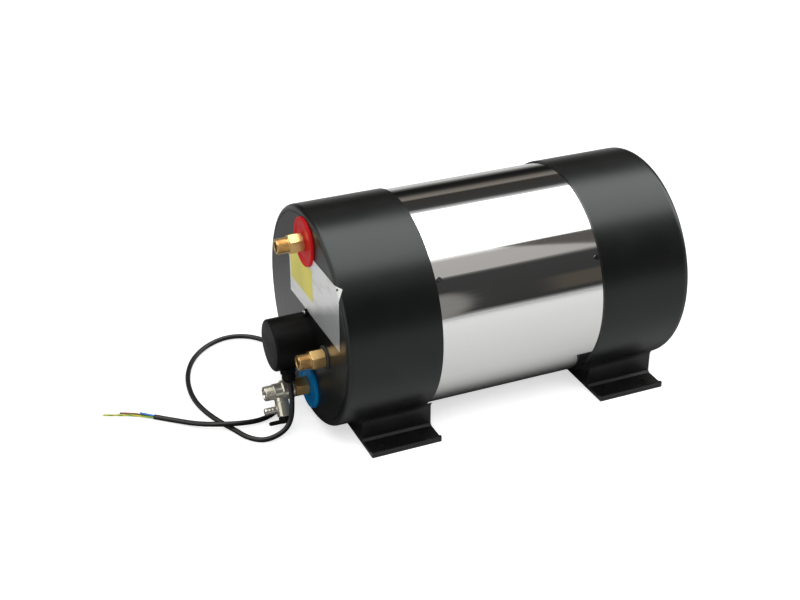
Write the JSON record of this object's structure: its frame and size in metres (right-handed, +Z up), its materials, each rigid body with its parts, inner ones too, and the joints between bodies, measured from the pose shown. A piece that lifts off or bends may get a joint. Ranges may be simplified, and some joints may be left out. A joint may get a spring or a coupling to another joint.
{
  "type": "water heater",
  "caption": "Horizontal insulated hot-water tank on saddle feet, with a mains element under a round cover, coil ports, hot outlet, and a cold inlet with a non-return and relief valve.",
  "frame": {"origin": "on the floor under the middle of the heater's box, the free cable left out", "axes": "+X along the tank from the fittings face to the closed end, +Z up, the fittings face looks along -X"},
  "size_m": [0.7645, 0.3963, 0.306],
  "materials": {
    "cap_plastic": "satin",
    "jacket_steel": "polished",
    "foot_plastic": "satin",
    "fixing_steel": "satin",
    "vessel_steel": "brushed",
    "foam": "matt",
    "brass": "machined",
    "red_plastic": "gloss",
    "blue_plastic": "gloss",
    "seal_rubber": "matt",
    "valve_nickel": "satin plated",
    "spring_steel": "bright",
    "black_plastic": "matt",
    "white_plastic": "matt",
    "red_button": "gloss",
    "anode_metal": "rough",
    "plate_foil": "satin foil",
    "patch_yellow": "matt",
    "cable_black": "matt",
    "core_blue": "matt",
    "core_brown": "matt",
    "core_green": "matt"
  },
  "bodies": {
    "heater": {"front_cap": "cap_plastic", "rear_cap": "cap_plastic", "outer_jacket": "jacket_steel", "jacket_rivets": "fixing_steel", "front_foot": "foot_plastic", "rear_foot": "foot_plastic", "foot_screws": "fixing_steel", "tank_shell": "vessel_steel", "front_head": "vessel_steel", "rear_head": "vessel_steel", "insulation_shell": "foam", "front_insulation": "foam", "rear_insulation": "foam", "port_sockets": "vessel_steel", "hot_collar": "red_plastic", "cold_collar": "blue_plastic", "hot_nipple": "brass", "cold_nipple": "brass", "coil_flow_nipple": "brass", "coil_return_nipple": "brass", "coil_seals": "seal_rubber", "heat_exchanger_coil": "vessel_steel", "inlet_diffuser": "vessel_steel", "element_boss": "vessel_steel", "element_gasket": "seal_rubber", "element_plug": "brass", "heating_element": "vessel_steel", "sensor_pocket": "vessel_steel", "anode_rod": "anode_metal", "thermostat_body": "white_plastic", "thermostat_sensor": "vessel_steel", "terminal_block": "white_plastic", "terminal_screws": "brass", "element_cover": "black_plastic", "cover_screws": "fixing_steel", "gland_body": "black_plastic", "gland_nut": "black_plastic", "gland_locknut": "black_plastic", "cable_tail": "cable_black", "mains_cable": "cable_black", "core_blue": "core_blue", "core_brown": "core_brown", "core_earth": "core_green", "valve_body": "valve_nickel", "check_spring": "spring_steel", "relief_bonnet": "valve_nickel", "relief_spring": "spring_steel", "rating_plate": "plate_foil", "plate_patch": "patch_yellow"},
    "knob": {"thermostat_knob": "black_plastic"},
    "button": {"reset_button": "red_button"},
    "poppet": {"check_poppet": "black_plastic"},
    "lever": {"relief_lever": "black_plastic"},
    "spindle": {"relief_spindle": "brass"}
  },
  "joints": [
    {"name": "thermostat_turn", "type": "hinge", "parent": "heater", "child": "knob", "pos_m": [-0.251, -0.008, 0.139], "axis": [-1, 0, 0], "range_deg": [0, 270]},
    {"name": "reset_press", "type": "slide", "parent": "heater", "child": "button", "axis": [1, 0, 0], "range_m": [0, 0.0025], "stiffness_N_per_m": 600, "springref_m": -0.0015},
    {"name": "check_open", "type": "slide", "parent": "heater", "child": "poppet", "axis": [1, 0, 0], "range_m": [0, 0.004], "stiffness_N_per_m": 150, "springref_m": -0.003, "deforming": ["check_spring"]},
    {"name": "relief_turn", "type": "hinge", "parent": "heater", "child": "lever", "pos_m": [-0.259, -0.0199, 0.01553], "axis": [0, -0.5, -0.866], "range_deg": [0, 60]},
    {"name": "relief_open", "type": "slide", "parent": "heater", "child": "spindle", "axis": [0, -0.5, -0.866], "range_m": [0, 0.002], "stiffness_N_per_m": 900, "springref_m": -0.003, "deforming": ["relief_spring"]}
  ],
  "couplings": [
    {"joint": "relief_turn", "follows": "relief_open", "rad_per_m": 523.59}
  ]
}
